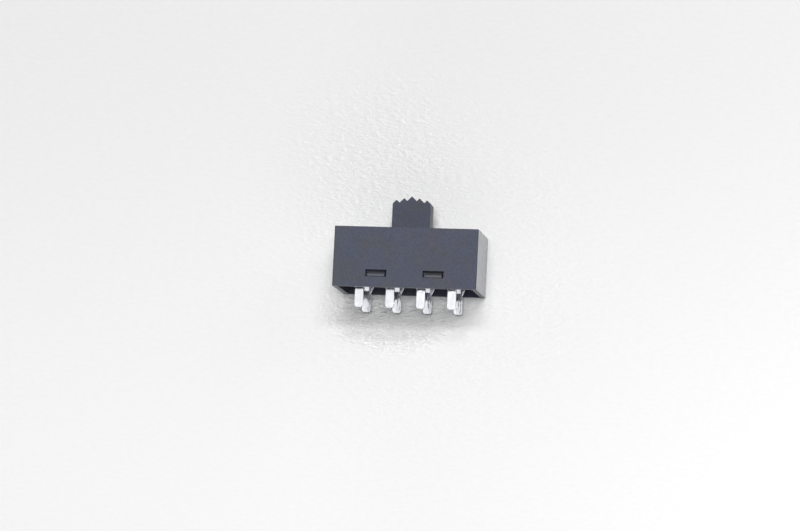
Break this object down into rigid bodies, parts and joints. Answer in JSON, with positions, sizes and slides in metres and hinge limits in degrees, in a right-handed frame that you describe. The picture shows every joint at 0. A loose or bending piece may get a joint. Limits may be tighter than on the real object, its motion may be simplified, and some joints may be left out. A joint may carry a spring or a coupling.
{
  "type": "slide switch",
  "caption": "Moulded slide switch with a serrated thumb actuator on top and two rows of flat terminals below, for a circuit board.",
  "frame": {"origin": "centre of the housing's back face, on the surface that the switch lies on", "axes": "+X along the slider's travel, +Y from the terminals towards the actuator, +Z out of the housing's front face"},
  "size_m": [0.022, 0.0173, 0.011],
  "materials": {
    "moulded_plastic": "fine satin moulding, blue-black",
    "base_plastic": "matt moulding, black",
    "plated_terminal": "bright silver plating over brass",
    "contact_metal": "bright rolled strip",
    "spring_steel": "drawn wire and polished balls"
  },
  "bodies": {
    "case": {"housing": "moulded_plastic", "base": "base_plastic", "terminal_1": "plated_terminal", "terminal_2": "plated_terminal", "terminal_3": "plated_terminal", "terminal_4": "plated_terminal", "terminal_5": "plated_terminal", "terminal_6": "plated_terminal", "terminal_7": "plated_terminal", "terminal_8": "plated_terminal"},
    "slider": {"slider": "moulded_plastic", "bridge_front": "contact_metal", "bridge_back": "contact_metal", "contact_spring_front": "spring_steel", "contact_spring_back": "spring_steel", "detent_spring": "spring_steel", "detent_ball_front": "spring_steel", "detent_ball_back": "spring_steel"}
  },
  "joints": [
    {"name": "slider_travel", "type": "slide", "parent": "case", "child": "slider", "axis": [1, 0, 0], "range_m": [-0.0047, 0.0047]}
  ]
}
